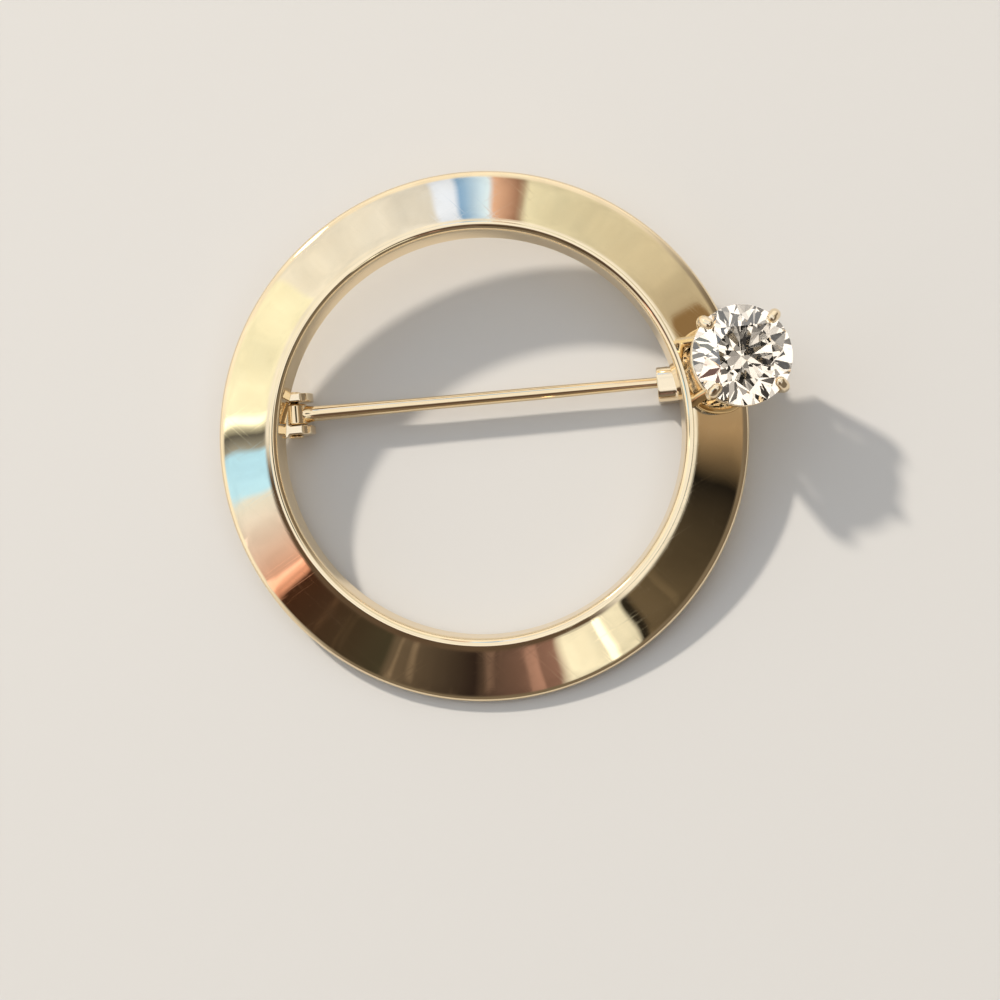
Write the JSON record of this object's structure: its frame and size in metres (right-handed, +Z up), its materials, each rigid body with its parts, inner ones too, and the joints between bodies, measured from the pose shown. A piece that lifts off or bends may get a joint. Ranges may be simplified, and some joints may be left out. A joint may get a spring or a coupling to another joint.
{
  "type": "circle brooch",
  "caption": "Knife-edge gold ring brooch with a claw-set round brilliant on its edge, a hinged pin stem and a catch behind.",
  "frame": {"origin": "on the table under the middle of the brooch as it lies on its back", "axes": "+Z up from the table, towards the brooch's front; +X from the pin joint's side to the stone's side, along the longest way; +Y towards the raised side of the ring"},
  "size_m": [0.0274, 0.0251, 0.006],
  "materials": {
    "yellow_gold": "mirror-polished 14 carat yellow gold",
    "pin_gold": "drawn and polished 14 carat gold wire",
    "diamond": "faceted and polished"
  },
  "bodies": {
    "brooch": {"brooch_frame": "yellow_gold", "diamond": "diamond", "hinge_rivet": "pin_gold"},
    "pin": {"pin_stem": "pin_gold"}
  },
  "joints": [
    {"name": "pin_swing", "type": "hinge", "parent": "brooch", "child": "pin", "pos_m": [-0.01022, 0.00108, 0.00108], "axis": [-0.0933, 0.9865, 0.1344], "range_deg": [0, 80]}
  ]
}
